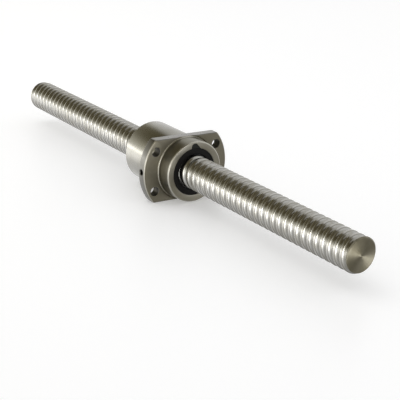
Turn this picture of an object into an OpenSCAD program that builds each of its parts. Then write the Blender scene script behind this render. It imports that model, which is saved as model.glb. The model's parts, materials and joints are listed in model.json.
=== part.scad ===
// Ball screw: a threaded screw and a round flanged nut with one ball circuit.
// X is the screw's axis. The origin is the centre of the flange's mounting face, +X points from the
// long barrel to the short boss, and +Z is square to the two flats of the flange.

/* [Screw] */
// Diameter over the lands of the thread
screw_d = 20; // [19.8:0.1:20.1]
// Overall length of the screw
screw_length = 345; // [240:5:380]
// Distance from the flange's mounting face to the front end of the screw
front_reach = 161.5; // [110:0.5:180]
// Axial travel for one turn
lead = 5; // [4.95:0.05:5.05]
// Chamfer on both ends of the screw
end_chamfer = 0.8; // [0.4:0.1:1.2]

/* [Nut] */
// Diameter of the barrel that seats in a housing
barrel_d = 37; // [36.8:0.1:37.6]
// Length of the barrel, behind the mounting face
barrel_length = 33.5; // [33:0.1:34]
// Diameter of the flange
flange_d = 58; // [56:0.5:62]
// Thickness of the flange
flange_t = 6; // [5.5:0.1:6.5]
// Distance between the two flats of the flange
flange_flats = 38.2; // [37.8:0.1:44]
// Radius of the corners between the flats and the round sides
flange_corner = 2; // [1:0.5:3]
// Diameter of the boss in front of the flange
boss_d = 37; // [36.8:0.1:37.6]
// Length of the boss, from the front of the flange
boss_length = 9.5; // [9:0.1:10]
// Diameter of the four bolt holes
bolt_hole_d = 5.5; // [4.5:0.1:6]
// Distance between bolt holes along the flats
bolt_span_y = 42; // [41:0.5:44]
// Distance between bolt holes across the flats
bolt_span_z = 24; // [22:0.5:25]

/* [Ball circuit] */
// Diameter of one ball
ball_d = 3.175; // [3.1:0.025:3.175]
// Diameter of the circle through the ball centres
ball_circle_d = 20.75; // [20.7:0.05:20.8]
// Whole turns counted from the rear pick-up to the front one
turns = 7; // [7:1:7]
// Balls in each loaded turn
balls_per_turn = 20; // [16:1:20]
// Distance of the return tunnel from the axis
return_r = 15.2; // [15.1:0.05:15.3]
// Direction of the return tunnel, seen from the front, from +Y towards +Z
return_angle = 92; // [80:1:100]

/* [Hidden] */
$fn = 96;

screw_r = screw_d / 2;
ball_r = ball_d / 2;
circle_r = ball_circle_d / 2;

// The nut is the same after half a turn about the return tunnel's radius at its middle, so the
// circuit is laid out in a local frame: x from the nut's middle, z through the return tunnel.
nut_front = flange_t + boss_length;
nut_mid = (nut_front - barrel_length) / 2;
nut_half = (nut_front + barrel_length) / 2;

// The screw's thread, as steps from the groove's centre, with a little room round the balls
groove_half = 1.82;
groove_floor_half = 0.8;
groove_floor_r = 8.66;
screw_profile = [
    [-groove_half, screw_r],
    [-groove_floor_half, groove_floor_r],
    [groove_floor_half, groove_floor_r],
    [groove_half, screw_r]
];
screw_columns = 20;

// The nut's thread, the other half of the ball track
nut_land_r = 10.6;
nut_groove_half = 1.9;
nut_groove_r = 12.09;
nut_columns = 24;
nut_profile = [
    for (p = [[-nut_groove_half, nut_land_r], [-groove_floor_half, nut_groove_r],
              [groove_floor_half, nut_groove_r], [nut_groove_half, nut_land_r]])
        [p[0], p[1] / cos(180 / nut_columns)]
];

// The balls leave the track along its tangent and turn into the tunnel
channel_r = 1.75;
bend_r = 2.9;
bend_ease = 0.03;
lead_angle = atan(lead / (PI * ball_circle_d));
pick_angle = 90 - acos(circle_r / return_r);
track_start = 180 - pick_angle;
track_end = pick_angle + 360 * turns;
pick_point = helix_point(track_end);
pick_dir = [
    sin(lead_angle),
    -cos(lead_angle) * sin(pick_angle),
    cos(lead_angle) * cos(pick_angle)
];
bend_turn = 90 + lead_angle;
corner_run = sqrt(return_r * return_r - circle_r * circle_r) / cos(lead_angle);
bend_start = corner_run - bend_r * tan(bend_turn / 2);
bend_side = [-cos(lead_angle), -sin(lead_angle) * sin(pick_angle), sin(lead_angle) * cos(pick_angle)];
bend_centre = pick_point + bend_start * pick_dir + bend_r * bend_side;
tunnel_mouth = transfer_point(bend_start + bend_r * bend_turn * PI / 180)[0];

// The track's spare length is shared between its two ends
ball_step = 360 / balls_per_turn;
track_balls = floor((track_end - track_start) / ball_step) + 1;
track_slack = (track_end - track_start - (track_balls - 1) * ball_step) / 2;
path_step = 3.42;
first_gap = path_step - track_slack * PI / 180 * circle_r;
deflector_balls = 4;
tunnel_balls = 8;
tunnel_reach = 11.6;

// Deflector inserts and wipers at each end of the nut, in the local frame
insert_floor = 14.45;
insert_top = 20.4;
lobe_r = 2.2;
seat_gap = 0.05;
screw_gap = 0.25;
wiper_r = 14.15;
wiper_face = nut_half - 0.2;
felt_low = 21.7;
felt_high = 22.9;
felt_outer_r = 13.1;
felt_bore_r = screw_r + 0.12;
felt_room = 0.1;
lip_r = 10.6;
lip_chamfer = 0.4;

// Small edges of the turned nut
edge = 0.6;
barrel_chamfer = 1;
relief_r = 0.7;
mouth_chamfer = 0.4;
hole_chamfer = 0.4;

// Lubrication hole in the flange's rounded edge, tapped at its mouth
oil_x = flange_t / 2;
oil_tap_r = 1.65;
oil_tap_length = 8;
oil_bore_r = 1.1;

steel = "#b9b6ae";
nut_steel = "#8f8b7e";
resin = "#232226";
felt = "#3a393c";
chrome_steel = "#d9d9d6";

// Place of the groove's centre line at an angle about the axis, in the local frame
function helix_x(angle) = lead * ((angle - 90) / 360 - turns / 2);
function helix_point(angle) = [helix_x(angle), circle_r * cos(angle), circle_r * sin(angle)];

// Nearest distance to a groove's centre, for a thread that repeats every lead
function from_groove(u) = u - lead * round(u / lead);

// Point along the path from the front pick-up into the tunnel
function transfer_point(s) =
    s < bend_start
        ? pick_point + s * pick_dir
        : let (a = (s - bend_start) / bend_r * 180 / PI)
            bend_centre + bend_r * (sin(a) * pick_dir - cos(a) * bend_side);

// Placement matrix with its x and y axes along two unit vectors
function frame(x, y, origin) = let (z = cross(x, y)) [
    [x[0], y[0], z[0], origin[0]],
    [x[1], y[1], z[1], origin[1]],
    [x[2], y[2], z[2], origin[2]],
    [0, 0, 0, 1]
];

function distinct(p, a, b, c) = p[a] != p[b] && p[b] != p[c] && p[a] != p[c];

// From the local frame of the circuit to the frame of the part
module in_nut() translate([nut_mid, 0, 0]) rotate([return_angle - 90, 0, 0]) children();

// The rear end is the front end, turned half round about the return tunnel's radius
module at_rear() rotate([0, 0, 180]) children();

// A profile of [radius, x] points turned about the axis
module turned(points) rotate([0, 90, 0]) rotate_extrude() polygon(points);

// A flat outline in the YZ plane, made solid between two places on the axis
module along_x(low, high) translate([low, 0, 0]) rotate([90, 0, 90]) linear_extrude(high - low) children();

module rod(low, high, r) translate([low, 0, 0]) rotate([0, 90, 0]) cylinder(h = high - low, r = r);

// A right-hand thread between two flat ends. Every column of points climbs by one lead a turn, and
// points past an end are drawn back to it, so the groove runs out through the end face.
module thread(profile, columns, low, high) {
    steps = len(profile);
    first = floor((low - helix_x(0)) / lead) - 3;
    last = ceil((high - helix_x(0)) / lead) + 2;
    count = (last - first) * steps;
    points = concat(
        [
            for (j = [0:columns - 1], k = [first:last - 1], m = [0:steps - 1])
                let (
                    angle = 360 * j / columns,
                    centre = helix_x(angle),
                    x = centre + lead * k + profile[m][0],
                    end_x = min(max(x, low), high),
                    r = x == end_x ? profile[m][1] : lookup(from_groove(end_x - centre), profile)
                )
                [end_x, r * cos(angle), r * sin(angle)]
        ],
        [[low, 0, 0], [high, 0, 0]]
    );
    sides = [
        for (j = [0:columns - 1])
            let (
                a = j * count,
                wraps = j == columns - 1,
                b = wraps ? steps : (j + 1) * count,
                stop = wraps ? count - 2 - steps : count - 2
            )
            for (i = [0:stop])
                for (t = [[a + i, a + i + 1, b + i + 1], [a + i, b + i + 1, b + i]])
                    if (distinct(points, t[0], t[1], t[2])) t
    ];
    ends = [
        for (j = [0:columns - 1])
            let (a = j * count, b = (j + 1) % columns * count)
            for (t = [[len(points) - 2, a, b], [len(points) - 1, b + count - 1, a + count - 1]])
                t
    ];
    polyhedron(points = points, faces = concat(sides, ends), convexity = 12);
}

// What the end chamfer takes off the screw, at a place and facing one way along the axis
module end_cut(x, way)
    turned([
        [screw_r - end_chamfer, x],
        [screw_r + 1, x - way * (end_chamfer + 1)],
        [screw_r + 1, x + way],
        [screw_r - end_chamfer, x + way]
    ]);

module screw_shaft() color(steel) in_nut() {
    low = front_reach - screw_length - nut_mid;
    high = front_reach - nut_mid;
    difference() {
        thread(screw_profile, screw_columns, low, high);
        end_cut(low, -1);
        end_cut(high, 1);
    }
}

// The nut before it is bored: barrel, flange and boss, with chamfered edges
module nut_blank() {
    barrel_r = barrel_d / 2;
    flange_r = flange_d / 2;
    boss_r = boss_d / 2;
    turned([
        [0, -barrel_length],
        [barrel_r - barrel_chamfer, -barrel_length],
        [barrel_r, barrel_chamfer - barrel_length],
        [barrel_r, 0],
        [flange_r - edge, 0],
        [flange_r, edge],
        [flange_r, flange_t - edge],
        [flange_r - edge, flange_t],
        [boss_r, flange_t],
        [boss_r, nut_front - edge],
        [boss_r - edge, nut_front],
        [0, nut_front]
    ]);
}

// Round relief where the grinding wheel runs out into the flange
module relief(x, r) rotate([0, 90, 0]) translate([0, 0, x]) rotate_extrude() translate([r, 0]) circle(relief_r, $fn = 32);

// What rounds one corner of the flange, between a flat and the round side
module corner_cut() {
    flange_r = flange_d / 2;
    flat = flange_flats / 2;
    centre_z = flat - flange_corner;
    centre_y = sqrt(pow(flange_r - flange_corner, 2) - centre_z * centre_z);
    touch = flange_r / (flange_r - flange_corner);
    along_x(-1, flange_t + 1) difference() {
        polygon([
            [centre_y, centre_z],
            [centre_y, flat + 2],
            [centre_y * touch + 2, flat + 2],
            1.06 * touch * [centre_y, centre_z]
        ]);
        translate([centre_y, centre_z]) circle(flange_corner);
    }
}

module bolt_hole() {
    r = bolt_hole_d / 2;
    rod(-1, flange_t + 1, r);
    turned([[0, -1], [r + hole_chamfer + 1, -1], [r, hole_chamfer], [0, hole_chamfer]]);
    turned([
        [0, flange_t - hole_chamfer],
        [r, flange_t - hole_chamfer],
        [r + hole_chamfer + 1, flange_t + 1],
        [0, flange_t + 1]
    ]);
}

module oil_hole() translate([oil_x, 0, 0]) rotate([90, 0, 0]) {
    edge_y = flange_d / 2;
    translate([0, 0, edge_y - oil_tap_length]) cylinder(h = oil_tap_length + 1, r = oil_tap_r);
    translate([0, 0, nut_land_r]) cylinder(h = edge_y - nut_land_r - 1, r = oil_bore_r);
    translate([0, 0, edge_y - mouth_chamfer])
        cylinder(h = mouth_chamfer + 1, r1 = oil_tap_r, r2 = oil_tap_r + mouth_chamfer + 1);
}

// Outline of the pocket and the insert that lead the balls out to the tunnel, seen from the front
module lobe_outline(r) {
    translate([0, return_r]) circle(r);
    polygon([
        [-r, return_r],
        [r * cos(pick_angle), return_r + r * sin(pick_angle)],
        (circle_r + r) * [cos(pick_angle), sin(pick_angle)],
        [0, 0],
        [-r, 0]
    ]);
}

// Seat of the wiper and pocket of the deflector in one end of the nut
module end_recess() {
    turned([
        [0, insert_top],
        [wiper_r, insert_top],
        [wiper_r, nut_half - mouth_chamfer],
        [wiper_r + mouth_chamfer + 1, nut_half + 1],
        [0, nut_half + 1]
    ]);
    along_x(insert_floor, nut_half + 1) lobe_outline(lobe_r);
}

module nut_body() color(nut_steel) difference() {
    intersection() {
        nut_blank();
        cube([2 * screw_length, 2 * flange_d, flange_flats], center = true);
    }
    relief(flange_t, boss_d / 2);
    relief(0, barrel_d / 2);
    for (side_y = [0, 1], side_z = [0, 1])
        mirror([0, side_y, 0]) mirror([0, 0, side_z]) corner_cut();
    for (side_y = [-1, 1], side_z = [-1, 1])
        translate([0, side_y * bolt_span_y / 2, side_z * bolt_span_z / 2]) bolt_hole();
    oil_hole();
    in_nut() {
        thread(nut_profile, nut_columns, -insert_top - 0.5, insert_top + 0.5);
        end_recess();
        at_rear() end_recess();
        translate([0, 0, return_r]) rod(-insert_floor - 1, insert_floor + 1, channel_r);
    }
}

// Resin insert that lifts the balls out of the screw's groove and turns them into the tunnel
module deflector() difference() {
    union() {
        along_x(insert_floor, insert_top) lobe_outline(lobe_r - seat_gap);
        along_x(insert_top, wiper_face) difference() {
            lobe_outline(lobe_r - seat_gap);
            circle(wiper_r + seat_gap);
        }
    }
    rod(insert_floor - 1, insert_top + 1, screw_r + screw_gap);
    ball_channel();
}

// Room for the balls in the insert: straight along the tangent, a bend, and into the tunnel
module ball_channel() {
    run_in = 2;
    multmatrix(frame(bend_side, cross(pick_dir, bend_side), pick_point - run_in * pick_dir))
        cylinder(h = bend_start + run_in, r = channel_r);
    multmatrix(frame(-bend_side, pick_dir, bend_centre))
        rotate_extrude(angle = bend_turn) translate([bend_r, 0]) circle(channel_r + bend_ease);
    translate([0, 0, return_r]) rod(insert_floor - 1, tunnel_mouth, channel_r);
}

module front_deflector() color(resin) in_nut() deflector();
module rear_deflector() color(resin) in_nut() at_rear() deflector();

// Black ring that closes one end of the nut and holds the felt
module wiper_holder() {
    outer = wiper_r - seat_gap;
    groove_r = felt_outer_r + felt_room;
    turned([
        [outer, insert_top],
        [outer, wiper_face],
        [lip_r + lip_chamfer, wiper_face],
        [lip_r, wiper_face - lip_chamfer],
        [lip_r, felt_high + felt_room],
        [groove_r, felt_high + felt_room],
        [groove_r, felt_low - felt_room],
        [lip_r, felt_low - felt_room],
        [lip_r, insert_top]
    ]);
}

module front_wiper_holder() color(resin) in_nut() wiper_holder();
module rear_wiper_holder() color(resin) in_nut() at_rear() wiper_holder();

// Felt that wipes the lands of the screw
module felt_ring()
    turned([
        [felt_bore_r, felt_low],
        [felt_outer_r, felt_low],
        [felt_outer_r, felt_high],
        [felt_bore_r, felt_high]
    ]);

module front_felt_ring() color(felt) in_nut() felt_ring();
module rear_felt_ring() color(felt) in_nut() at_rear() felt_ring();

module ball(place) translate(place) sphere(ball_r, $fn = 32);

// One loaded turn of balls, counted from the rear
module balls_turn(number) color(chrome_steel) in_nut() {
    first = (number - 1) * balls_per_turn;
    last = min(first + balls_per_turn, track_balls) - 1;
    for (i = [first:last])
        ball(helix_point(track_start + track_slack + i * ball_step));
}

module transfer_balls()
    for (i = [0:deflector_balls - 1])
        ball(transfer_point(first_gap + i * path_step));

module balls_front_deflector() color(chrome_steel) in_nut() transfer_balls();
module balls_rear_deflector() color(chrome_steel) in_nut() at_rear() transfer_balls();

module balls_return_tunnel() color(chrome_steel) in_nut()
    for (i = [0:tunnel_balls - 1])
        ball([tunnel_reach * (2 * i / (tunnel_balls - 1) - 1), 0, return_r]);

screw_shaft();
nut_body();
front_deflector();
rear_deflector();
front_wiper_holder();
rear_wiper_holder();
front_felt_ring();
rear_felt_ring();
balls_turn(1);  // balls_turn_1
balls_turn(2);  // balls_turn_2
balls_turn(3);  // balls_turn_3
balls_turn(4);  // balls_turn_4
balls_turn(5);  // balls_turn_5
balls_turn(6);  // balls_turn_6
balls_turn(7);  // balls_turn_7
balls_front_deflector();
balls_rear_deflector();
balls_return_tunnel();
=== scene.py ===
# %% [markdown]
# # A ball screw and its flanged nut
#
# A ball screw turns rotation into travel. Hardened balls roll between a groove in the screw and the same
# groove in the nut, and a tunnel in the nut brings them back to the start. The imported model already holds
# every piece at its real size. This notebook gives those pieces their finish, and rebuilds the screw, the
# nut and the wiper rings as finer meshes on the same sizes. We load the frame first, because everything
# later is placed by it.

# %% Load the frame
import json
import math

import bmesh
import bpy
from mathutils import Matrix, Vector


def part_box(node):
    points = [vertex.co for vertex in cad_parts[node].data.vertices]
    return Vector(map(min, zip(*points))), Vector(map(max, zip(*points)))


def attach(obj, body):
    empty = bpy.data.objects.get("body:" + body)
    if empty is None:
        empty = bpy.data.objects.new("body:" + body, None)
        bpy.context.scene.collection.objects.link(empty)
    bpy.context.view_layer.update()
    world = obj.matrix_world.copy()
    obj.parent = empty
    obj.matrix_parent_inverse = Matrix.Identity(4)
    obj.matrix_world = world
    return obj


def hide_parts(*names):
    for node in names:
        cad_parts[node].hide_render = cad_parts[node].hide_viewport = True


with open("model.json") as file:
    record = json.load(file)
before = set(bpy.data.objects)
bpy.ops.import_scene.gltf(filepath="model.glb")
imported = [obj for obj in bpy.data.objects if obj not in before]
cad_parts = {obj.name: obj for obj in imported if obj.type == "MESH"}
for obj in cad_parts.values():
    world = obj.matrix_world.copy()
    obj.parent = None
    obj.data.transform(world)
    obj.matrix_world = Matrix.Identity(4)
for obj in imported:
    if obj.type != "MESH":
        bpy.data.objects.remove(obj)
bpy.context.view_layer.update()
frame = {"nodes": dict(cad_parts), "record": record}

mounts = {mount["name"]: mount for mount in frame["record"]["mounts"]}

# %% [markdown]
# ## The camera
#
# The photograph looks down on the front end of the screw through a long lens. Its place was found by
# fitting the edges of the screw and the round outlines of the flange, the boss and the screw's end. A
# camera can be placed by hand and nudged until it looks right, but with the place, the aim and the roll as
# values, anyone can read where it stands. All lengths in this notebook are in millimetres, and MM turns
# them into Blender's metres.

# %% Place the camera
MM = 0.001
CAMERA_PLACE = Vector((521.6, -347.2, 197.6))
CAMERA_AIM = Vector((12.9, 6.7, -19.4))
CAMERA_ROLL = math.radians(2.87)
LENS = 99


def facing(place, aim, roll=0.0):
    """Placement of what stands at place and looks at aim. roll raises the right side of its view."""
    ahead = (aim - place).normalized()
    level = ahead.cross(Vector((0, 0, 1))).normalized()
    right = math.cos(roll) * level + math.sin(roll) * level.cross(ahead)
    turn = Matrix((right, right.cross(ahead), -ahead)).transposed()
    return Matrix.Translation(place * MM) @ turn.to_4x4()


lens = bpy.data.cameras.new("Photo camera")
lens.lens = LENS
lens.sensor_width = 36
lens.clip_start = 0.01
camera = bpy.data.objects.new("Photo camera", lens)
camera.matrix_world = facing(CAMERA_PLACE, CAMERA_AIM, CAMERA_ROLL)
bpy.context.scene.collection.objects.link(camera)
bpy.context.scene.camera = camera
bpy.context.scene.view_settings.view_transform = "Standard"
print(f"the camera stands {(CAMERA_PLACE - CAMERA_AIM).length:.0f} mm from the nut")

# %% [markdown]
# ## Helpers for node trees
#
# Geometry Nodes and shaders are both node trees. Adding each node by hand takes three or four lines, so one
# helper makes a node, sets it up and links its inputs. The rest of the notebook then reads like the tree
# itself.

# %% Define the node helpers
def add(tree, kind, *inputs, **settings):
    """Adds one node. Its inputs are taken in order: a socket is linked, None is skipped, a value is set."""
    node = tree.nodes.new(kind)
    for name, value in settings.items():
        setattr(node, name, value)
    for socket, value in zip(node.inputs, inputs):
        if isinstance(value, bpy.types.NodeSocket):
            tree.links.new(value, socket)
        elif value is not None:
            socket.default_value = value
    return node


def maths(tree, operation, *values):
    """One step of arithmetic, in either kind of tree."""
    return add(tree, "ShaderNodeMath", *values, operation=operation).outputs[0]


def whole(tree, operation, a, b):
    """One step of whole-number arithmetic, which stays exact where a float would round."""
    return add(tree, "FunctionNodeIntegerMath", a, b, operation=operation).outputs[0]


def sockets(tree, way, **kinds):
    """Adds named sockets to a tree's own interface. An underscore in a name stands for a space."""
    for name, kind in kinds.items():
        tree.interface.new_socket(name.replace("_", " "), in_out=way, socket_type="NodeSocket" + kind)


print("node helpers are ready")

# %% [markdown]
# ## The ball track
#
# Cut across, the track is a gothic arch: two arcs with their centres a little past the middle, so that each
# ball touches at two points. The screw's track is the lower half, and the nut's is the upper half. One
# pitch of that profile is all that we draw. The screw's groove could be cut with a long helical tool and a
# boolean, but a sweep gives clean quads that follow the helix. In the nut the swept thread is itself the
# tool, and cuts the bore.

# %% Draw one pitch of the track
LEAD = 5.0
SCREW_R = 10.0
NUT_LAND_R = 10.6
BALL_R = 1.5875
BALL_CIRCLE_R = 10.375
ARCH_R = 1.78
BALL_GAP = 0.06
EDGE_BREAK = 0.35
EDGE_GUARD = 0.08
ARC_STEPS = 6
EDGE_STEPS = 4


def curve(a, corner, b, steps):
    """Points of a smooth curve that leaves a and reaches b along the two sides of a corner."""
    share = [i / steps for i in range(steps + 1)]
    return [a.lerp(corner, t).lerp(corner.lerp(b, t), t) for t in share]


def track_half(land_r, way):
    """Half a pitch, from the middle of the arch to the land, as (x, radius). way is -1 for the screw and 1
    for the nut. The last point only guards the flat of the land, so that smooth shading doesn't round it."""
    shift = (ARCH_R - BALL_R - BALL_GAP) * math.sin(math.pi / 4)
    centre_r = BALL_CIRCLE_R - way * shift
    start = math.asin(shift / ARCH_R)
    corner = math.acos(way * (land_r - centre_r) / ARCH_R)
    stop = corner - EDGE_BREAK / ARCH_R

    def on_arc(angle):
        return Vector((ARCH_R * math.sin(angle) - shift, centre_r + way * ARCH_R * math.cos(angle)))

    arc = [on_arc(start + (stop - start) * i / ARC_STEPS) for i in range(ARC_STEPS)]
    tip = on_arc(corner)
    land = tip + Vector((EDGE_BREAK, 0))
    return arc + curve(on_arc(stop), tip, land, EDGE_STEPS) + [land + Vector((EDGE_GUARD, 0))]


def track_profile(name, land_r, way):
    """One pitch of the track, as a chain of points with x along the screw and y as the radius."""
    half = track_half(land_r, way)
    points = [(-p.x * MM, p.y * MM, 0) for p in reversed(half[1:])] + [(p.x * MM, p.y * MM, 0) for p in half]
    mesh = bpy.data.meshes.new(name)
    mesh.from_pydata(points, [(i, i + 1) for i in range(len(points) - 1)], [])
    return mesh


print(2 * len(track_half(SCREW_R, -1)) - 1, "points draw one pitch of the screw")

# %% [markdown]
# ## The thread as a tree
#
# The tree repeats that profile along a helix. It starts from a flat grid with one row for each point of
# each pitch and one column for each step round the axis, and moves every point of the grid to its place.
# The last column meets the first one a lead further on, so a merge closes the surface. Geometry Nodes suits
# this, because a change of lead, turns or columns is one number.

# %% Build the thread tree
MERGE = 0.001


def thread_tree():
    tree = bpy.data.node_groups.new("Thread", "GeometryNodeTree")
    sockets(tree, "INPUT", Profile="Geometry", Start="Float", Lead="Float", Turns="Int", Columns="Int",
            Finish="Material")
    sockets(tree, "OUTPUT", Thread="Geometry")
    given = tree.nodes.new("NodeGroupInput").outputs
    steps = add(tree, "GeometryNodeAttributeDomainSize", given["Profile"]).outputs["Point Count"]
    rows = whole(tree, "ADD", whole(tree, "MULTIPLY", given["Turns"], steps), 1)
    columns = whole(tree, "ADD", given["Columns"], 1)
    grid = add(tree, "GeometryNodeMeshGrid", 1.0, 1.0, columns, rows).outputs["Mesh"]
    index = tree.nodes.new("GeometryNodeInputIndex").outputs[0]
    row = whole(tree, "MODULO", index, rows)
    turned = maths(tree, "DIVIDE", whole(tree, "DIVIDE", index, rows), given["Columns"])
    position = tree.nodes.new("GeometryNodeInputPosition").outputs[0]
    sample = add(tree, "GeometryNodeSampleIndex", given["Profile"], data_type="FLOAT_VECTOR")
    tree.links.new(position, sample.inputs["Value"])
    tree.links.new(whole(tree, "MODULO", row, steps), sample.inputs["Index"])
    along, radius, _ = add(tree, "ShaderNodeSeparateXYZ", sample.outputs[0]).outputs
    turns = maths(tree, "ADD", whole(tree, "DIVIDE", row, steps), turned)
    shifted = maths(tree, "MULTIPLY_ADD", turns, given["Lead"], given["Start"])
    angle = maths(tree, "MULTIPLY", turned, math.tau)
    place = add(
        tree, "ShaderNodeCombineXYZ",
        maths(tree, "ADD", shifted, along),
        maths(tree, "MULTIPLY", radius, maths(tree, "COSINE", angle)),
        maths(tree, "MULTIPLY", radius, maths(tree, "SINE", angle)),
    ).outputs[0]
    moved = add(tree, "GeometryNodeSetPosition", grid, None, place).outputs[0]
    closed = add(tree, "GeometryNodeMergeByDistance", moved)
    closed.inputs["Distance"].default_value = MERGE * MM
    solid = add(tree, "GeometryNodeRealizeInstances", closed.outputs[0]).outputs[0]
    finished = add(tree, "GeometryNodeSetMaterial", solid)
    tree.links.new(given["Finish"], finished.inputs["Material"])
    add(tree, "NodeGroupOutput", finished.outputs[0])
    return tree


THREAD = thread_tree()
print("the thread tree has", len(THREAD.nodes), "nodes")

# %% [markdown]
# ## Plain meshes from trees and tools
#
# A modifier's result is live until it is baked. We bake each one at once, because the later steps, and the
# export, want plain meshes. The thread comes out of its tree open at both ends, so each end gets a fan of
# faces to a point on the axis. That makes it a solid, which a boolean can cut. A cut can leave points that
# all but touch, so each one ends with a weld.

# %% Bake and edit a mesh
def new_object(name, mesh):
    made = bpy.data.objects.new(name, mesh)
    bpy.context.scene.collection.objects.link(made)
    return made


def bake(piece):
    """Turns what the modifiers make into the piece's own plain mesh."""
    depsgraph = bpy.context.evaluated_depsgraph_get()
    mesh = bpy.data.meshes.new_from_object(piece.evaluated_get(depsgraph))
    piece.modifiers.clear()
    piece.data = mesh
    return piece


def edit(mesh, *changes):
    """Opens a mesh, makes each change to its shape in turn, and writes it back."""
    shape = bmesh.new()
    shape.from_mesh(mesh)
    for change in changes:
        change(shape)
    shape.to_mesh(mesh)
    shape.free()
    return mesh


def face_outward(shape):
    bmesh.ops.recalc_face_normals(shape, faces=shape.faces)


def merge_points(shape):
    bmesh.ops.remove_doubles(shape, verts=shape.verts, dist=MERGE * MM)


def drop_slivers(shape):
    bmesh.ops.dissolve_degenerate(shape, edges=shape.edges, dist=MERGE * MM)


print("points closer than", MERGE, "mm are merged")

# %% Close a thread and cut with it
THREAD_COLUMNS = 60


def thread_solid(name, profile, first_groove, turns, finish):
    """A closed thread. first_groove is where the groove's middle starts, on the +Y side."""
    piece = new_object(name, profile)
    modifier = piece.modifiers.new("Thread", "NODES")
    modifier.node_group = THREAD
    values = {"Start": first_groove * MM, "Lead": LEAD * MM, "Turns": turns, "Columns": THREAD_COLUMNS,
              "Finish": finish}
    for socket in THREAD.interface.items_tree:
        if socket.name in values:
            modifier[socket.identifier] = values[socket.name]

    def close_ends(shape):
        open_edges = [edge for edge in shape.edges if edge.is_boundary]
        middle = (first_groove + LEAD * turns / 2) * MM
        for end in (first_groove, first_groove + LEAD * turns):
            pole = shape.verts.new((end * MM, 0, 0))
            for edge in open_edges:
                if (edge.verts[0].co.x < middle) == (end == first_groove):
                    shape.faces.new((*edge.verts, pole))

    edit(bake(piece).data, close_ends, face_outward)
    return piece


def cut(piece, *tools, keep_inside=False):
    """Cuts the tools out of a piece, or keeps only what lies inside them, and clears them away."""
    for tool in tools:
        step = piece.modifiers.new(tool.name, "BOOLEAN")
        step.operation = "INTERSECT" if keep_inside else "DIFFERENCE"
        step.solver = "MANIFOLD"
        step.object = tool
    edit(bake(piece).data, merge_points, drop_slivers)
    for tool in tools:
        bpy.data.objects.remove(tool)
    return piece


print("a thread has", THREAD_COLUMNS, "steps to a turn")

# %% [markdown]
# ## A lathe
#
# Most of this object is turned, so its pieces are outlines spun about the X axis. Real turned edges are
# never quite sharp. A bevel modifier could break them, but it works best on simple meshes, so we ease the
# corners of the outline instead, before it is spun.

# %% Draw and ease outlines
TURNED_BREAK = 0.15
BREAK_STEPS = 3
BREAK_SHARE = 0.4
CORNER_LIMIT = math.radians(25)


def eased(outline):
    """The closed outline with each clear corner off the axis turned into a small curve."""
    points = []
    for before, corner, after in zip(outline[-1:] + outline[:-1], outline, outline[1:] + outline[:1]):
        back, on = before - corner, after - corner
        if corner.y == 0 or (-back).angle(on) < CORNER_LIMIT:
            points.append(corner)
        else:
            reach = min(TURNED_BREAK, BREAK_SHARE * back.length, BREAK_SHARE * on.length)
            start, stop = corner + back.normalized() * reach, corner + on.normalized() * reach
            points += curve(start, corner, stop, BREAK_STEPS)
    return points


def arc(centre, radius, start, stop, steps):
    """Points of an arc in the outline's plane, with its angles in degrees."""
    angles = [math.radians(start + (stop - start) * i / steps) for i in range(steps + 1)]
    return [Vector((centre[0] + radius * math.cos(a), centre[1] + radius * math.sin(a))) for a in angles]


print("turned edges are broken by", TURNED_BREAK, "mm")

# %% Spin and join outlines
COLUMNS = 192


def mesh_from(name, points, faces):
    """A mesh from points in millimetres, with its faces turned outward."""
    mesh = bpy.data.meshes.new(name)
    mesh.from_pydata([Vector(p) * MM for p in points], [], faces)
    return edit(mesh, face_outward)


def lathe(name, outline, columns=COLUMNS):
    """Spins a closed outline of (x, radius) points. A point on the axis becomes one pole."""
    points, rings = [], []
    for x, radius in outline:
        count = columns if radius > 0 else 1
        rings.append([len(points) + j % count for j in range(columns + 1)])
        turn = [math.tau * j / columns for j in range(count)]
        points += [(x, radius * math.cos(a), radius * math.sin(a)) for a in turn]
    faces = []
    for one, other in zip(rings, rings[1:] + rings[:1]):
        for j in range(columns):
            face = tuple(dict.fromkeys((one[j], one[j + 1], other[j + 1], other[j])))
            if len(face) > 2:
                faces.append(face)
    return new_object(name, mesh_from(name, points, faces))


def prism(name, layers):
    """Joins flat outlines with the same number of points. Each layer is (x, outline of (y, z) points)."""
    count = len(layers[0][1])
    points = [(x, y, z) for x, outline in layers for y, z in outline]
    faces = [tuple(range(count)), tuple(range(len(points) - count, len(points)))]
    for low in range(0, len(points) - count, count):
        faces += [(low + i, low + (i + 1) % count, low + count + (i + 1) % count, low + count + i)
                  for i in range(count)]
    return new_object(name, mesh_from(name, points, faces))


print("the lathe turns", COLUMNS, "columns")

# %% [markdown]
# ## Two groups that every steel surface uses
#
# Turned and ground steel shows fine marks round the axis, and the oil on it leaves it slightly uneven. The
# first group says where a point of the surface is: along the axis, out from it, and whether it is on an end
# face. The second makes marks that run round the axis on a side and in rings on a face. Each is built once
# and placed in every steel material with its own values.

# %% Define the shader helpers
def group(name, inputs, outputs):
    """A new shader group, with its input and output sockets."""
    tree = bpy.data.node_groups.new(name, "ShaderNodeTree")
    sockets(tree, "INPUT", **inputs)
    sockets(tree, "OUTPUT", **outputs)
    return tree, tree.nodes.new("NodeGroupInput").outputs, tree.nodes.new("NodeGroupOutput").inputs


def mixed(tree, factor, a, b):
    """A colour between two others."""
    return add(tree, "ShaderNodeMix", factor, None, None, None, None, None, a, b, data_type="RGBA").outputs[2]


def between(tree, value, low, high, to_low=0.0, to_high=1.0):
    """Changes smoothly from to_low to to_high while value goes from low to high."""
    return add(tree, "ShaderNodeMapRange", value, low, high, to_low, to_high,
               interpolation_type="SMOOTHSTEP").outputs[0]


def noise(tree, scale, detail, roughness=0.5):
    """A cloudy pattern on the piece's own coordinates."""
    spot = tree.nodes.new("ShaderNodeTexCoord").outputs["Object"]
    return add(tree, "ShaderNodeTexNoise", spot, None, scale, detail, roughness).outputs[0]


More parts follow.
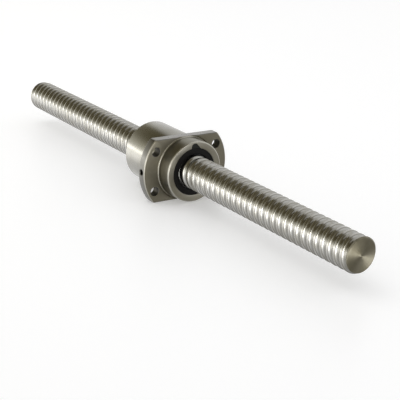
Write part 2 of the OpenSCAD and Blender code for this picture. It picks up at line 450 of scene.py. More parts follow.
print("shader helpers are ready")

# %% Build the shader groups
FACE_LIMIT = 0.8
STAIN_RANGE = (0.35, 0.7)


def place_group():
    tree, _, out = group("Place on the part", {}, {"Along": "Float", "Radius": "Float", "Face": "Float",
                                                   "Outward": "Vector"})
    coordinates = tree.nodes.new("ShaderNodeTexCoord").outputs
    x, y, z = add(tree, "ShaderNodeSeparateXYZ", coordinates["Object"]).outputs
    round_part = add(tree, "ShaderNodeCombineXYZ", 0.0, y, z).outputs[0]
    radius = add(tree, "ShaderNodeVectorMath", round_part, operation="LENGTH").outputs["Value"]
    outward = add(tree, "ShaderNodeVectorMath", round_part, operation="NORMALIZE").outputs[0]
    facing_x = maths(tree, "ABSOLUTE", add(tree, "ShaderNodeSeparateXYZ", coordinates["Normal"]).outputs[0])
    tree.links.new(maths(tree, "MULTIPLY", x, 1 / MM), out["Along"])
    tree.links.new(maths(tree, "MULTIPLY", radius, 1 / MM), out["Radius"])
    tree.links.new(maths(tree, "GREATER_THAN", facing_x, FACE_LIMIT), out["Face"])
    tree.links.new(outward, out["Outward"])
    return tree


def marks_group():
    tree, given, out = group("Tool marks", {"Lines_per_mm": "Float", "Unevenness": "Float"},
                             {"Marks": "Float", "Stain": "Float"})
    place = add(tree, "ShaderNodeGroup", node_tree=PLACE).outputs
    coordinate = add(tree, "ShaderNodeMix", place["Face"], None, place["Along"], place["Radius"]).outputs[0]
    lines = maths(tree, "MULTIPLY", coordinate, given["Lines per mm"])
    fine = add(tree, "ShaderNodeTexNoise", None, lines, 1.0, 2.0, noise_dimensions="1D").outputs[0]
    patches = noise(tree, given["Unevenness"], 4.0, 0.6)
    tree.links.new(fine, out["Marks"])
    tree.links.new(between(tree, patches, *STAIN_RANGE), out["Stain"])
    return tree


PLACE = place_group()
MARKS = marks_group()
print("shader groups:", PLACE.name, "and", MARKS.name)

# %% [markdown]
# ## Steel finishes
#
# The screw is hardened steel, ground bright on its lands and polished in its groove, with a thin film of
# oil. Marks that run round the axis spread a reflection along it, which is what anisotropy does. Its
# tangent is a vector along the axis and outward at once: on a side only the first part matters, on an end
# face only the second. The other finishes share one function, and differ in their two colours, polish and
# marks.

# %% Define the steel finish
OIL_PATCHES = 80.0
OIL_ROUGHENS = 0.2


def new_material(name):
    made = bpy.data.materials.new(name)
    made.use_nodes = True
    return made, made.node_tree, made.node_tree.nodes["Principled BSDF"]


def add_bump(tree, shader, height, depth):
    """Presses a pattern into the surface, depth millimetres deep."""
    bump = tree.nodes.new("ShaderNodeBump")
    bump.inputs["Distance"].default_value = depth * MM
    tree.links.new(height, bump.inputs["Height"])
    tree.links.new(bump.outputs[0], shader.inputs["Normal"])


def steel_tangent(tree, place):
    """The direction across the tool marks, for a shader's tangent."""
    across = add(tree, "ShaderNodeVectorMath", place["Outward"], (1, 0, 0), operation="ADD").outputs[0]
    return add(tree, "ShaderNodeVectorTransform", across, vector_type="VECTOR", convert_from="OBJECT",
               convert_to="WORLD").outputs[0]


def finish_steel(tree, shader, place, marks, colour, roughness, depth, anisotropy):
    """Links the colour, roughness, bump and tangent of a steel surface."""
    shader.inputs["Metallic"].default_value = 1.0
    shader.inputs["Anisotropic"].default_value = anisotropy
    tree.links.new(colour, shader.inputs["Base Color"])
    tree.links.new(roughness, shader.inputs["Roughness"])
    tree.links.new(steel_tangent(tree, place), shader.inputs["Tangent"])
    add_bump(tree, shader, marks["Marks"], depth)


def steel(name, clean, stained, stain, roughness, anisotropy, lines=8.0, depth=0.0008):
    """Bare steel whose colour goes from clean to stained where the oil lies, by at most the share stain."""
    made, tree, shader = new_material(name)
    place = add(tree, "ShaderNodeGroup", node_tree=PLACE).outputs
    marks = add(tree, "ShaderNodeGroup", lines, OIL_PATCHES, node_tree=MARKS).outputs
    colour = mixed(tree, maths(tree, "MULTIPLY", marks["Stain"], stain), (*clean, 1), (*stained, 1))
    polished = (1 - OIL_ROUGHENS / 2) * roughness
    spread = maths(tree, "MULTIPLY_ADD", marks["Stain"], OIL_ROUGHENS * roughness, polished)
    finish_steel(tree, shader, place, marks, colour, spread, depth, anisotropy)
    return made


print("the oil lies in patches about", round(1000 / OIL_PATCHES), "mm wide")

# %% Make the screw's steel
LAND_RADII = (SCREW_R - 0.06, SCREW_R - 0.005)
WALL_SHADE_RADII = (SCREW_R - 0.5, SCREW_R - 0.2)
BOTTOM_RADII = (SCREW_R - 0.9, SCREW_R - 1.3)
LAND_COLOUR = (0.43, 0.42, 0.395, 1)
GROOVE_COLOUR = (0.43, 0.425, 0.405, 1)
# Painted shade for the upper walls of the groove, just below the lands.
WALL_SHADE_COLOUR = (0.20, 0.19, 0.16, 1)
WALL_SHADE_SHARE = 0.6
BOTTOM_COLOUR = (0.37, 0.36, 0.325, 1)
OILED_COLOUR = (0.33, 0.315, 0.27, 1)
OILED_SHARE = 0.6
OILED_ROUGHENS = 0.06
GROOVE_AND_LAND_ROUGHNESS = (0.19, 0.16)
SCREW_LINES = 9.0
SCREW_PATCHES = 170.0


def screw_steel():
    """Bright steel, with painted shade high on the groove's walls, darker at its bottom and where the oil
    lies.
    """
    made, tree, shader = new_material("Ground screw steel")
    place = add(tree, "ShaderNodeGroup", node_tree=PLACE).outputs
    marks = add(tree, "ShaderNodeGroup", SCREW_LINES, SCREW_PATCHES, node_tree=MARKS).outputs
    land = between(tree, place["Radius"], *LAND_RADII)
    # Painted shade high on the groove's walls, fading out towards the lands.
    wall = between(tree, place["Radius"], *WALL_SHADE_RADII)
    wall = maths(tree, "MULTIPLY", wall, maths(tree, "SUBTRACT", 1.0, land))
    bottom = between(tree, place["Radius"], *BOTTOM_RADII)
    colour = mixed(tree, land, GROOVE_COLOUR, LAND_COLOUR)
    colour = mixed(tree, bottom, colour, BOTTOM_COLOUR)
    colour = mixed(tree, maths(tree, "MULTIPLY", wall, WALL_SHADE_SHARE), colour, WALL_SHADE_COLOUR)
    colour = mixed(tree, maths(tree, "MULTIPLY", marks["Stain"], OILED_SHARE), colour, OILED_COLOUR)
    polish = between(tree, land, 0.0, 1.0, *GROOVE_AND_LAND_ROUGHNESS)
    roughness = maths(tree, "MULTIPLY_ADD", marks["Stain"], OILED_ROUGHENS, polish)
    finish_steel(tree, shader, place, marks, colour, roughness, depth=0.0006, anisotropy=0.5)
    return made


SCREW_STEEL = screw_steel()
FACED_END = steel("Faced screw end", clean=(0.25, 0.234, 0.182), stained=(0.198, 0.18, 0.125),
                  stain=0.8, roughness=0.54, anisotropy=0.87, lines=5.0)
print("the screw has", SCREW_STEEL.name, "and", FACED_END.name)

# %% Make the nut's steels
GROUND_BARREL = steel("Ground barrel steel", clean=(0.32, 0.311, 0.28), stained=(0.265, 0.253, 0.207),
                      stain=0.5, roughness=0.24, anisotropy=0.3)
GROUND_FLAT = steel("Ground flat", clean=(0.26, 0.252, 0.235), stained=(0.22, 0.212, 0.19),
                    stain=0.5, roughness=0.3, anisotropy=0.0)
BOSS_SIDE = steel("Turned boss side", clean=(0.24, 0.228, 0.188), stained=(0.2, 0.188, 0.148),
                  stain=0.6, roughness=0.34, anisotropy=0.3)
BOSS_FACE = steel("Faced boss", clean=(0.325, 0.312, 0.275), stained=(0.27, 0.258, 0.216),
                  stain=0.7, roughness=0.36, anisotropy=0.4)
FLANGE_SKIN = steel("Turned flange skin", clean=(0.2, 0.187, 0.152), stained=(0.165, 0.153, 0.118),
                    stain=0.9, roughness=0.42, anisotropy=0.3)
FLANGE_EDGE = steel("Turned flange edge", clean=(0.17, 0.165, 0.15), stained=(0.143, 0.137, 0.12),
                    stain=0.7, roughness=0.34, anisotropy=0.3)
# Bare metal on the broken edges, brightened as a painted highlight. The same finish paints a highlight on the
# front relief's outward wall.
EDGE_AND_HIGHLIGHT = steel("Broken edge and painted highlight", clean=(0.47, 0.455, 0.40), stained=(0.40, 0.385, 0.33),
                    stain=0.5, roughness=0.3, anisotropy=0.0)
# Painted shade: the walls of the holes are painted near black to stand for the shade inside them.
HOLE_SHADE = steel("Painted hole shade", clean=(0.05, 0.045, 0.034), stained=(0.03, 0.027, 0.02),
                     stain=1.0, roughness=0.5, anisotropy=0.0, lines=4.0, depth=0.004)
print("steel finishes:", ", ".join(m.name for m in bpy.data.materials if m.use_nodes))

# %% [markdown]
# ## One piece, several finishes
#
# A lathe, a grinder and a drill leave different surfaces on one piece of steel. Each face of the mesh gets
# the finish of the machine that made it, chosen by where the face lies and which way it looks. The walls of
# the holes are instead painted near black as shade, and the broken edges and the front relief's outward wall
# are painted bright as highlights.

# %% Define how a piece is finished
SHARP_ANGLE = math.radians(32)


def paint(piece, finish, chosen):
    """Gives one finish to the faces for which chosen(centre in millimetres, normal) is true."""
    piece.data.materials.append(finish)
    index = len(piece.data.materials) - 1
    count = 0
    for face in piece.data.polygons:
        if chosen(face.center / MM, face.normal):
            face.material_index = index
            count += 1
    print(f"{piece.name}: {count} faces of {finish.name}")


def smooth(piece, body, slot, *nodes):
    """Shades a finished piece and hands it to the frame."""
    piece.data.shade_smooth()
    piece.data.set_sharp_from_angle(angle=SHARP_ANGLE)
    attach(piece, body)
    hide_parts(*nodes)
    print(f"{piece.name}: {sum(len(face.vertices) - 2 for face in piece.data.polygons)} triangles")
    return piece


print(f"edges over {math.degrees(SHARP_ANGLE):.0f} degrees stay sharp")

# %% [markdown]
# ## The screw
#
# The screw is one bar with the groove rolled or ground along its whole length, and both ends are sawn and
# faced with a small chamfer. So the thread is made longer than the screw, and a plain chamfered bar, a
# little thicker than the screw, cuts it to length. The groove then runs out through the end faces as it
# does on the real bar.

# %% Make the screw
END_CHAMFER = 0.8
SPARE = 7.0
CLEAR = 1.0
TOUCH = 0.01
GROOVE_AT_Y = -27.778


def grooves_from(low, high):
    """Where the first groove past low starts on the +Y side, and how many turns reach past high."""
    first = GROOVE_AT_Y + LEAD * math.floor((low - SPARE - GROOVE_AT_Y) / LEAD)
    return first, math.ceil((high + SPARE - first) / LEAD)


def make_screw():
    low, high = (corner.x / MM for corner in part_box("screw_shaft"))
    profile = track_profile("Screw track", SCREW_R, -1)
    screw = thread_solid("Screw", profile, *grooves_from(low, high), SCREW_STEEL)
    face_r = SCREW_R - END_CHAMFER
    wide_r = SCREW_R + CLEAR
    stock = lathe("Stock", [
        (low, 0), (low, face_r), (low + END_CHAMFER + CLEAR, wide_r),
        (high - END_CHAMFER - CLEAR, wide_r), (high, face_r), (high, 0),
    ])
    cut(screw, stock, keep_inside=True)

    def on_an_end(centre, normal):
        from_end = min(centre.x - low, high - centre.x)
        off_chamfer = abs(math.hypot(centre.y, centre.z) - face_r - from_end)
        on_chamfer = from_end < END_CHAMFER and off_chamfer < 2 * TOUCH and abs(normal.x) > 0.5
        return from_end < TOUCH or on_chamfer

    paint(screw, FACED_END, on_an_end)
    return screw


screw = smooth(make_screw(), "screw", "screw_steel", "screw_shaft")

# %% [markdown]
# ## The nut
#
# The nut is turned from one bar: a long barrel that seats in the machine, a flange, and a short boss.
# Behind the flange, where the grinding wheel runs out, a round relief lies in the corner. In front, another
# lies in the flange's face, beside the boss. We draw half of the nut's section, bore included, and spin it.
# The flange is then milled to two flats, and the holes are drilled, each with a broken edge.

# %% Draw the section of the nut
nut_low, nut_high = (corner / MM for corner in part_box("nut_body"))
NUT_MIDDLE = (nut_low.x + nut_high.x) / 2
NUT_HALF = (nut_high.x - nut_low.x) / 2
BARREL_R = mounts["nut_pilot"]["dims"]["r_mm"]
BOSS_R = 18.5
FLANGE_R = 29.0
FLANGE_T = 6.0
BARREL_CHAMFER = 1.0
EDGE = 0.6
RELIEF_R = 0.7
SEAT_R = 14.15
SEAT_DEPTH = 4.1
MOUTH = 0.4
ROUGH_BORE_R = 9.5


def nut_section():
    rear, front = nut_low.x, nut_high.x
    points = [
        (rear, SEAT_R + MOUTH), (rear, BARREL_R - BARREL_CHAMFER), (rear + BARREL_CHAMFER, BARREL_R),
        *arc((0, BARREL_R), RELIEF_R, 180, 450, steps=18),
        (0, FLANGE_R - EDGE), (EDGE, FLANGE_R), (FLANGE_T - EDGE, FLANGE_R), (FLANGE_T, FLANGE_R - EDGE),
        *arc((FLANGE_T, BOSS_R + RELIEF_R), RELIEF_R, 90, 270, steps=12),
        (front - EDGE, BOSS_R), (front, BOSS_R - EDGE), (front, SEAT_R + MOUTH), (front - MOUTH, SEAT_R),
        (front - SEAT_DEPTH, SEAT_R), (front - SEAT_DEPTH, ROUGH_BORE_R),
        (rear + SEAT_DEPTH, ROUGH_BORE_R), (rear + SEAT_DEPTH, SEAT_R), (rear + MOUTH, SEAT_R),
    ]
    return [Vector(point) for point in points]


print(f"the nut's section runs from {nut_low.x:.1f} to {nut_high.x:.1f} mm")

# %% [markdown]
# ## The flats, the holes and the ball circuit
#
# The flange's two flats meet its round sides in small rounded corners. One prism gives that whole outline,
# narrower by a chamfer outside the flange, so that keeping what lies inside it also breaks the edges of the
# flats. The ball circuit inside repeats the part's own layout: a threaded bore, a drilled return tunnel,
# and at each end a pocket that holds the deflector.

# %% Make the tool for the flats
FLAT_Z = nut_high.z
FLANGE_CORNER = 2.0
FLAT_CHAMFER = 0.35
STAND_OFF = 3.0
STAND_OFF_Z = 12.0


def flange_outline(inset):
    """The flange along the axis, as (y, z). Its round sides stand clear, because the lathe made them."""
    centre_z = FLAT_Z - FLANGE_CORNER
    centre_y = math.sqrt((FLANGE_R - FLANGE_CORNER) ** 2 - centre_z**2)
    touch = math.degrees(math.atan2(centre_z, centre_y))
    corner = arc((centre_y, centre_z), FLANGE_CORNER - inset, touch, 90, steps=8)
    run = Vector((math.sin(math.radians(touch)), -math.cos(math.radians(touch))))
    tip = corner[0] + STAND_OFF * run
    side_y = FLANGE_R + STAND_OFF
    quarter = [Vector((side_y, 0)), Vector((side_y, STAND_OFF_Z)), tip, *corner]
    half = quarter + [Vector((-p.x, p.y)) for p in reversed(quarter)]
    return half + [Vector((p.x, -p.y)) for p in reversed(half[1:-1])]


def flats_tool():
    narrow, full = flange_outline(FLAT_CHAMFER), flange_outline(0)
    return prism("Flats", [
        (nut_low.x - CLEAR, narrow), (0, narrow), (FLAT_CHAMFER, full),
        (FLANGE_T - FLAT_CHAMFER, full), (FLANGE_T, narrow), (nut_high.x + CLEAR, narrow),
    ])


print(f"the flats are {2 * FLAT_Z:.1f} mm apart")

# %% Make the tools for the ball circuit
RETURN_R = 15.2
RETURN_TILT = math.radians(2)
TUNNEL_R = 1.75
LOBE_R = 2.2
POCKET_DEPTH = 10.05
DRILL_COLUMNS = 64


def moved(x, y, z):
    return Matrix.Translation(Vector((x, y, z)) * MM)


def drill(name, radius, low, high, countersink, placement):
    """A drill along X from low to high, with a cone past both ends or none, moved by a placement matrix."""
    wide = radius + countersink + CLEAR if countersink else radius
    tool = lathe(name, [
        (low - CLEAR, 0), (low - CLEAR, wide), (low + countersink, radius),
        (high - countersink, radius), (high + CLEAR, wide), (high + CLEAR, 0),
    ], DRILL_COLUMNS)
    tool.data.transform(placement)
    return tool


def in_circuit(front):
    """From the front end of the ball circuit's own frame to the part. The rear end is half a turn away."""
    middle = moved(NUT_MIDDLE, 0, 0) @ Matrix.Rotation(RETURN_TILT, 4, "X")
    return middle if front else middle @ Matrix.Rotation(math.pi, 4, "Z")


def lobe_outline():
    """A deflector along the axis, as (y, z): a round tip on a straight flank and a slanted one."""
    lean = 90 - math.degrees(math.acos(BALL_CIRCLE_R / RETURN_R))
    side = Vector((math.cos(math.radians(lean)), math.sin(math.radians(lean))))
    tip = arc((0, RETURN_R), LOBE_R, lean, 180, steps=20)
    return [(BALL_CIRCLE_R + LOBE_R) * side, *tip, Vector((-LOBE_R, 0)), Vector((0, 0))]


def circuit_tools():
    profile = track_profile("Nut track", NUT_LAND_R, 1)
    tools = [thread_solid("Nut thread", profile, *grooves_from(nut_low.x, nut_high.x), GROUND_BARREL)]
    reach = NUT_HALF - POCKET_DEPTH
    for front in (True, False):
        pocket = prism("Pocket", [(reach, lobe_outline()), (NUT_HALF + CLEAR, lobe_outline())])
        pocket.data.transform(in_circuit(front))
        tools.append(pocket)
    tools.append(drill("Tunnel", TUNNEL_R, -reach, reach, 0, in_circuit(True) @ moved(0, 0, RETURN_R)))
    return tools


print(f"the return tunnel is {2 * (NUT_HALF - POCKET_DEPTH):.1f} mm long")

# %% Make the drills for the holes
BOLTS = mounts["nut_bolts"]["dims"]
BOLT_Y = BOLTS["spacing_x_mm"] / 2
BOLT_Z = BOLTS["spacing_y_mm"] / 2
OIL_TAP_R = mounts["oil_port"]["dims"]["r_mm"]
OIL_TAP_DEPTH = 8.0
OIL_BORE_R = 1.1
HOLE_BREAK = 0.12


def hole_tools():
    holes = [drill("Bolt hole", BOLTS["hole_r_mm"], 0, FLANGE_T, HOLE_BREAK, moved(0, y, z))
             for y in (-BOLT_Y, BOLT_Y) for z in (-BOLT_Z, BOLT_Z)]
    inward = moved(FLANGE_T / 2, -FLANGE_R, 0) @ Matrix.Rotation(math.pi / 2, 4, "Z")
    tap = drill("Oil tap", OIL_TAP_R, 0, OIL_TAP_DEPTH - CLEAR, MOUTH, inward)
    way = drill("Oil way", OIL_BORE_R, CLEAR, FLANGE_R - NUT_LAND_R, 0, inward)
    return holes + [tap, way]


print(f"four bolt holes of {2 * BOLTS['hole_r_mm']:.1f} mm")

# %% [markdown]
# ## Cutting and finishing the nut
#
# The tools are used one after another, the way a machinist would: flats first, then the bore and its
# thread, then the pockets, the tunnel and the holes. The barrel's ground finish covers the whole nut at
# first. Each other finish is then painted over it, and where two of them meet, the later one wins. The
# limits on a normal are cosines: 0.9 is within 26 degrees of an axis, and 0.5 within 60.

# %% Say where each finish lies
def out(centre):
    """How far a place is from the axis."""
    return math.hypot(centre.y, centre.z)


def outward(centre, normal):
    """How much a face looks away from the axis, from -1 to 1."""
    return (normal.y * centre.y + normal.z * centre.z) / out(centre)


def on_boss_side(centre, normal):
    return out(centre) > BOSS_R - EDGE and centre.x > FLANGE_T


def on_flange_edge(centre, normal):
    return out(centre) > BOSS_R + 5 * TOUCH and EDGE / 2 < centre.x <= FLANGE_T


def on_flat(centre, normal):
    return abs(normal.z) > 0.9 and abs(centre.z) > FLAT_Z - FLAT_CHAMFER


def in_front_relief(centre, normal):
    deep_enough = FLANGE_T - RELIEF_R - TOUCH < centre.x < FLANGE_T
    return deep_enough and abs(out(centre) - BOSS_R - RELIEF_R) < RELIEF_R + TOUCH


def on_flange_skin(centre, normal):
    on_face = normal.x > 0.9 and out(centre) > BOSS_R and centre.x < FLANGE_T + CLEAR
    return on_face or in_front_relief(centre, normal)


def on_boss_face(centre, normal):
    return normal.x > 0.5 and centre.x > nut_high.x - EDGE


def on_edge_or_highlight(centre, normal):
    """The front edges of the flange and the boss, bare metal brightened as a painted highlight, and the
    outward wall of the relief, painted bright as a highlight.
    """
    on_round = out(centre) > FLANGE_R - EDGE and centre.x > FLANGE_T - EDGE and outward(centre, normal) > 0.3
    on_boss = out(centre) > BOSS_R - EDGE and centre.x > nut_high.x - EDGE and normal.x > 0.3
    # The relief's outward wall gets a painted highlight.
    return on_round or on_boss or in_front_relief(centre, normal) and outward(centre, normal) > 0.6


def in_hole_shade(centre, normal):
    """The walls of the bolt holes and of the oil hole, painted near black as shade."""
    off_bolt = math.hypot(abs(centre.y) - BOLT_Y, abs(centre.z) - BOLT_Z)
    off_oil = math.hypot(centre.x - FLANGE_T / 2, centre.z)
    in_bolt_hole = abs(normal.x) < 0.5 and off_bolt < BOLTS["hole_r_mm"] + TOUCH
    in_oil_hole = abs(normal.y) < 0.5 and centre.y < 0 and off_oil < OIL_TAP_R + TOUCH
    return in_bolt_hole or in_oil_hole


NUT_FINISHES = [
    (BOSS_SIDE, on_boss_side), (FLANGE_EDGE, on_flange_edge), (GROUND_FLAT, on_flat),
    (FLANGE_SKIN, on_flange_skin), (BOSS_FACE, on_boss_face), (EDGE_AND_HIGHLIGHT, on_edge_or_highlight),
    (HOLE_SHADE, in_hole_shade),
]
print(len(NUT_FINISHES), "finishes lie over the barrel's own")

# %% Make the nut
def make_nut():
    nut = lathe("Nut", eased(nut_section()))
    nut.data.materials.append(GROUND_BARREL)
    cut(nut, flats_tool(), keep_inside=True)
    cut(nut, *circuit_tools(), *hole_tools())
    for finish, chosen in NUT_FINISHES:
        paint(nut, finish, chosen)
    return nut


nut = smooth(make_nut(), "nut", "nut_steel", "nut_body")

# %% [markdown]
# ## The resin pieces
#
# A black ring closes each end of the nut and holds a felt that wipes the screw. Beside it shows the tip of
# the deflector, a moulded insert that lifts the balls out of the track. The rings are turned like the nut.
# The deflectors have a curved ball channel that the part's own solid already holds, so we take a copy of
# it, merge its loose triangles and soften its edges with a bevel.

# %% Make the resin material
RESIN_GRAIN = 9000.0
RESIN_CLOUDS = 240.0
RESIN_ROUGHNESS = (0.5, 0.62)


def resin(name, colour, shade):
    made, tree, shader = new_material(name)
    clouds = noise(tree, RESIN_CLOUDS, 3.0)
    tree.links.new(mixed(tree, clouds, colour, shade), shader.inputs["Base Color"])
    tree.links.new(between(tree, clouds, 0.3, 0.7, *RESIN_ROUGHNESS), shader.inputs["Roughness"])
    shader.inputs["Specular IOR Level"].default_value = 0.13
    add_bump(tree, shader, noise(tree, RESIN_GRAIN, 2.0), 0.004)
    return made


RING_RESIN = resin("Black resin", (0.004, 0.0035, 0.0035, 1), (0.007, 0.0065, 0.006, 1))
INSERT_RESIN = resin("Insert resin", (0.014, 0.015, 0.013, 1), (0.022, 0.023, 0.020, 1))
print("resin finishes:", RING_RESIN.name, "and", INSERT_RESIN.name)

# %% Make the rings and the deflectors
SEAT_GAP = 0.05
HOLDER_SET_BACK = 0.2
LIP_R = 10.6
LIP_CHAMFER = 0.4
FELT_ROOM = 0.1
FELT_R = 13.1
DEFLECTOR_BEVEL = 0.12
FACET_LIMIT = math.radians(1)
BEVEL_LIMIT = math.radians(50)


def felt_gap(node):
    """Where the felt's groove begins and ends, counted outward from the middle of the nut."""
    places = sorted(abs(corner.x / MM - NUT_MIDDLE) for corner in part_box(node))
    return places[0] - FELT_ROOM, places[1] + FELT_ROOM


def wiper_holder(end):
    seat, face, outer = NUT_HALF - SEAT_DEPTH, NUT_HALF - HOLDER_SET_BACK, SEAT_R - SEAT_GAP
    inner, rim = felt_gap(end + "_felt_ring")
    way = 1 if end == "front" else -1
    half_section = [
        (seat, outer), (face, outer), (face, LIP_R + LIP_CHAMFER), (face - LIP_CHAMFER, LIP_R),
        (rim, LIP_R), (rim, FELT_R + FELT_ROOM), (inner, FELT_R + FELT_ROOM), (inner, LIP_R), (seat, LIP_R),
    ]
    outline = [Vector((NUT_MIDDLE + way * x, r)) for x, r in half_section]
    holder = lathe(end.capitalize() + "_wiper_holder", eased(outline))
    holder.data.materials.append(RING_RESIN)
    return smooth(holder, "nut", "black_resin", end + "_wiper_holder")


def join_facets(shape):
    bmesh.ops.dissolve_limit(shape, angle_limit=FACET_LIMIT, verts=shape.verts, edges=shape.edges)


def deflector(end):
    node = end + "_deflector"
    piece = new_object(node.capitalize(), frame["nodes"][node].data.copy())
    piece.data.materials.clear()
    piece.data.materials.append(INSERT_RESIN)
    edit(piece.data, merge_points, join_facets)
    bevel = piece.modifiers.new("Soft edges", "BEVEL")
    bevel.width = DEFLECTOR_BEVEL * MM
    bevel.segments = 2
    bevel.limit_method = "ANGLE"
    bevel.angle_limit = BEVEL_LIMIT
    return smooth(bake(piece), "nut", "black_resin", node)


for end in ("front", "rear"):
    wiper_holder(end)
    deflector(end)

# %% [markdown]
# ## The felts and the balls
#
# These keep the part's own solids, which are exact, and only get a finish. The felt is pressed wool: a dark
# base with lighter fibres and a soft sheen. The balls are polished bearing steel with a trace of oil.

# %% Finish the felts and the balls
FELT_FIBRES = 6000.0
BALL_FILM = 900.0
BALL_ROUGHNESS = (0.05, 0.12)


def felt_material():
    made, tree, shader = new_material("Oiled felt")
    fibres = noise(tree, FELT_FIBRES, 5.0, 0.7)
    colour = mixed(tree, between(tree, fibres, 0.4, 0.7), (0.06, 0.06, 0.066, 1), (0.15, 0.15, 0.16, 1))
    tree.links.new(colour, shader.inputs["Base Color"])
    shader.inputs["Roughness"].default_value = 0.9
    shader.inputs["Sheen Weight"].default_value = 0.3
    add_bump(tree, shader, fibres, 0.05)
    return made


def ball_material():
    made, tree, shader = new_material("Polished ball steel")
    film = noise(tree, BALL_FILM, 3.0)
    colour = mixed(tree, film, (0.80, 0.80, 0.79, 1), (0.70, 0.69, 0.65, 1))
    tree.links.new(colour, shader.inputs["Base Color"])
    tree.links.new(between(tree, film, 0.3, 0.7, *BALL_ROUGHNESS), shader.inputs["Roughness"])
    shader.inputs["Metallic"].default_value = 1.0
    return made


FELT = felt_material()
BALL_STEEL = ball_material()
for name, node in frame["nodes"].items():
    if "felt" in name or name.startswith("balls"):
        node.data.materials.clear()
        node.data.materials.append(FELT if "felt" in name else BALL_STEEL)
        node.data.shade_smooth()
print("felts and balls have their finish")

# %% [markdown]
# ## The floor
#
# The floor is pale and touches the lower flat of the flange. It glows a little for the camera, so that it
# looks white and still holds a soft shadow. Reflections don't see it, but the lower half of the room of the
# next step.

# %% Lay the floor
FLOOR_SIZE = 6000.0
FLOOR_GLOW = 0.28


def stage_plane(name, size, placement, material):
    """A flat square that belongs to the studio."""
    half = size / 2
    corners = [(-half, -half, 0), (half, -half, 0), (half, half, 0), (-half, half, 0)]
    mesh = bpy.data.meshes.new(name)
    mesh.from_pydata([Vector(p) * MM for p in corners], [], [(0, 1, 2, 3)])
    mesh.materials.append(material)
    plane = new_object(name, mesh)
    plane.matrix_world = placement
    return plane


def floor_material():
    made, tree, shader = new_material("Pale floor")
    shader.inputs["Base Color"].default_value = (0.80, 0.80, 0.80, 1)
    shader.inputs["Roughness"].default_value = 0.4
    shader.inputs["Specular IOR Level"].default_value = 0.5
    rays = tree.nodes.new("ShaderNodeLightPath").outputs
    seen = maths(tree, "MAXIMUM", rays["Is Camera Ray"], rays["Is Glossy Ray"])
    seen = maths(tree, "MAXIMUM", seen, rays["Is Transmission Ray"])
    shader.inputs["Emission Color"].default_value = (1, 1, 1, 1)
    tree.links.new(maths(tree, "MULTIPLY", seen, FLOOR_GLOW), shader.inputs["Emission Strength"])
    return made


floor = stage_plane("Floor", FLOOR_SIZE, moved(0, 0, nut_low.z), floor_material())
floor.visible_glossy = False
print(f"the floor lies {-nut_low.z:.1f} mm below the axis")

# %% [markdown]
# ## The room that steel reflects
#
# Polished steel shows what stands round it, so most of its look is decided here. White and black cards
# could stand round the object, but the world can hold the same room, and only reflections see it. Its
# colour follows the height of a direction, in two ramps. On the left the horizon is bright and the sky is
# dark, which draws the dark band along the screw. On the right all is grey. Towards the ends of the screw
# the left ramp drops a little and glows more, and in front on the right the floor is dark.

# %% Set the light levels of the room
ROOM_PEAK = 2.0
LEFT_SIDE = {
    -1.00: (0.25, 0.25, 0.25),
    -0.50: (0.35, 0.35, 0.35),
    -0.20: (0.50, 0.50, 0.50),
    0.05: (0.95, 0.95, 0.95),
    0.20: (0.90, 0.90, 0.88),
    0.45: (0.40, 0.39, 0.34),
    0.70: (0.08, 0.07, 0.04),
    0.95: (0.05, 0.04, 0.02),
    1.00: (0.25, 0.25, 0.24),
}
RIGHT_SIDE = {
    -0.75: (0.25, 0.25, 0.25),
    -0.45: (0.45, 0.45, 0.45),
    0.00: (0.50, 0.50, 0.50),
    0.80: (0.45, 0.45, 0.45),
    1.00: (0.30, 0.30, 0.29),
}
BORDER = (0.36, 0.58)
BORDER_LEAN = 0.4
BORDER_TURN = -0.3
ENDS_FROM = (-1.0, -0.5)
BAND_DROP = 0.25
BAND_GAIN = 0.6
FRONT_AHEAD = (0.3, 0.65)
FRONT_SIDE = (-0.1, 0.25)
FRONT_BELOW = (-0.02, -0.25)
FRONT_FLOOR = (0.13, 0.12, 0.09, 1)


def height_ramp(tree, height, stops):
    """Colours that follow the height of a direction, from -1 straight down to 1 overhead."""
    node = add(tree, "ShaderNodeValToRGB", maths(tree, "MULTIPLY_ADD", height, 0.5, 0.5))
    elements = node.color_ramp.elements
    elements.remove(elements[-1])
    for number, (place, colour) in enumerate(stops.items()):
        element = elements.new(place) if number else elements[0]
        element.position = (place + 1) / 2
        element.color = (*colour, 1)
    return node.outputs[0]


print(len(LEFT_SIDE), "light levels on the left and", len(RIGHT_SIDE), "on the right")

# %% Build the world
WORLD_LIGHT = 0.75


def room(tree):
    """The light of the room in each direction. ahead runs along the screw and side goes to the right."""
    direction = tree.nodes.new("ShaderNodeTexCoord").outputs["Generated"]
    ahead, side, height = add(tree, "ShaderNodeSeparateXYZ", direction).outputs
    steep = maths(tree, "MULTIPLY", height, height)
    lean = maths(tree, "MULTIPLY_ADD", ahead, BORDER_TURN, BORDER_LEAN)
    on_right = between(tree, maths(tree, "MULTIPLY_ADD", steep, lean, side), *BORDER)
    ends = maths(tree, "MULTIPLY", between(tree, side, *ENDS_FROM), maths(tree, "SUBTRACT", 1.0, steep))
    left = height_ramp(tree, maths(tree, "MULTIPLY_ADD", ends, BAND_DROP, height), LEFT_SIDE)
    colour = mixed(tree, on_right, left, height_ramp(tree, height, RIGHT_SIDE))
    front = maths(tree, "MULTIPLY", between(tree, ahead, *FRONT_AHEAD), between(tree, height, *FRONT_BELOW))
    front = maths(tree, "MULTIPLY", front, between(tree, side, *FRONT_SIDE))
    colour = mixed(tree, front, colour, FRONT_FLOOR)
    glow = maths(tree, "MULTIPLY", ends, maths(tree, "SUBTRACT", 1.0, on_right))
    strength = maths(tree, "MULTIPLY_ADD", glow, BAND_GAIN, ROOM_PEAK)
    return add(tree, "ShaderNodeBackground", colour, strength).outputs[0]


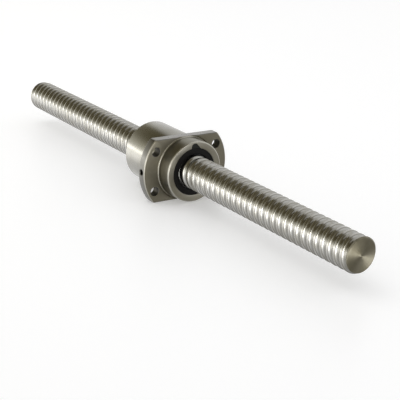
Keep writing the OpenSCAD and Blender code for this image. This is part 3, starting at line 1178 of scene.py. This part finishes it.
def studio_world():
    """White to the camera, a little softer as a light, and the room to reflections."""
    world = bpy.data.worlds.new("Studio")
    world.use_nodes = True
    tree = world.node_tree
    rays = tree.nodes.new("ShaderNodeLightPath").outputs
    plain = tree.nodes["Background"]
    plain.inputs["Color"].default_value = (1, 1, 1, 1)
    tree.links.new(between(tree, rays["Is Camera Ray"], 0.0, 1.0, WORLD_LIGHT, 1.0), plain.inputs["Strength"])
    mirrored = maths(tree, "MAXIMUM", rays["Is Glossy Ray"], rays["Is Transmission Ray"])
    mix = add(tree, "ShaderNodeMixShader", mirrored, plain.outputs[0], room(tree))
    tree.links.new(mix.outputs[0], tree.nodes["World Output"].inputs["Surface"])
    return world


bpy.context.scene.world = studio_world()
print("the world lights with", WORLD_LIGHT, "of white")

# %% [markdown]
# ## The lamps
#
# Three softboxes stand round the object. A low one at the back left draws the bright band along the steel.
# One in front is seen only in reflections, and brings out the turned rings of the screw's end. One overhead
# gives soft light without a reflection of its own.

# %% Place the softboxes
def softbox(name, place, size, radiance, aim=(0, 0, 0), glossy=True, diffuse=True):
    """A lamp that looks at aim. radiance is how bright it looks, where 1 is white."""
    light = bpy.data.lights.new(name, "AREA")
    light.shape = "RECTANGLE"
    light.size, light.size_y = size[0] * MM, size[1] * MM
    light.energy = radiance * math.pi * light.size * light.size_y
    lamp = new_object(name, light)
    lamp.matrix_world = facing(Vector(place), Vector(aim))
    lamp.visible_camera = False
    lamp.visible_glossy = glossy
    lamp.visible_diffuse = diffuse


softbox("Left_softbox", place=(-950, -700, 40), size=(600, 130), radiance=2.2)
softbox("Front_softbox", place=(1050, -70, 20), size=(1000, 400), radiance=5.0, aim=(160, 0, 0),
        diffuse=False)
softbox("Top_softbox", place=(-250, -300, 900), size=(700, 700), radiance=1.0, glossy=False)
print("three softboxes light the studio")

# %% [markdown]
# ## The end: nothing more is built.

# %% Finish
print("the scene is built")
